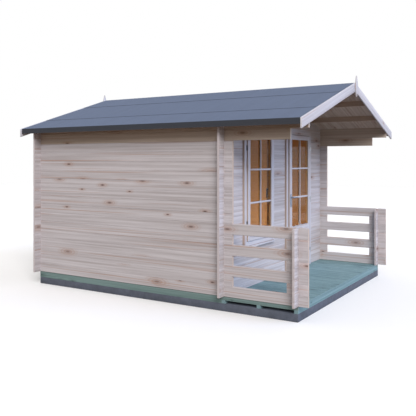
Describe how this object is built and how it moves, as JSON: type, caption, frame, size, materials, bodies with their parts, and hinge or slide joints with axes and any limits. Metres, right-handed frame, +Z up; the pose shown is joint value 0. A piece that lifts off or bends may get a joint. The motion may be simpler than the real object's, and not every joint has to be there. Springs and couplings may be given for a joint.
{
  "type": "garden log cabin with porch",
  "caption": "Small gabled garden cabin of interlocking planed logs, with a porch and log balustrades, a hinged glazed door, a tall window and a felted roof on a low plinth.",
  "frame": {"origin": "middle of the cabin's outline at ground level, on the underside of the plinth", "axes": "+Z up, -Y out of the porch, +X to the right when looking at the porch"},
  "size_m": [3.432, 4.1296, 2.7394],
  "materials": {
    "planed_pine": "planed, untreated",
    "pale_joinery_pine": "planed, pale",
    "green_treated_pine": "pressure treated, green",
    "roofing_felt": "mineral roofing felt",
    "plinth_concrete": "dark cast concrete",
    "clear_glass": "clear float glass",
    "dark_iron": "black enamelled iron",
    "grey_steel": "satin"
  },
  "bodies": {
    "cabin": {"base_plinth": "plinth_concrete", "room_bearers": "green_treated_pine", "room_joists": "green_treated_pine", "porch_bearers": "green_treated_pine", "porch_sills": "green_treated_pine", "room_floor": "planed_pine", "porch_floor": "green_treated_pine", "left_wall": "planed_pine", "left_balustrade": "planed_pine", "left_eave_logs": "planed_pine", "left_porch_post": "planed_pine", "right_wall": "planed_pine", "right_balustrade": "planed_pine", "right_eave_logs": "planed_pine", "right_porch_post": "planed_pine", "back_wall": "planed_pine", "back_gable": "planed_pine", "front_wall_below_window": "planed_pine", "front_wall_left": "planed_pine", "front_wall_middle": "planed_pine", "front_wall_right": "planed_pine", "front_gable": "planed_pine", "ridge_purlin": "planed_pine", "left_purlins": "planed_pine", "right_purlins": "planed_pine", "left_roof_boards": "planed_pine", "right_roof_boards": "planed_pine", "left_felt": "roofing_felt", "right_felt": "roofing_felt", "ridge_felt": "roofing_felt", "eave_strips": "planed_pine", "front_barge_boards": "pale_joinery_pine", "back_barge_boards": "pale_joinery_pine", "front_finial": "pale_joinery_pine", "back_finial": "pale_joinery_pine", "window_frame": "pale_joinery_pine", "window_drip_board": "pale_joinery_pine", "window_sash": "pale_joinery_pine", "window_glass": "clear_glass", "window_hinges": "dark_iron", "door_jambs": "pale_joinery_pine", "door_head": "pale_joinery_pine", "door_threshold": "planed_pine", "door_stops": "pale_joinery_pine", "door_hinge_pins": "grey_steel"},
    "door": {"door_leaf": "pale_joinery_pine", "door_glass": "clear_glass", "door_handles": "grey_steel", "door_hinge_barrels": "grey_steel"}
  },
  "joints": [
    {"name": "door_hinge", "type": "hinge", "parent": "cabin", "child": "door", "pos_m": [0.963, -1.062, 1.1], "axis": [0, 0, 1], "range_deg": [0, 100]}
  ]
}
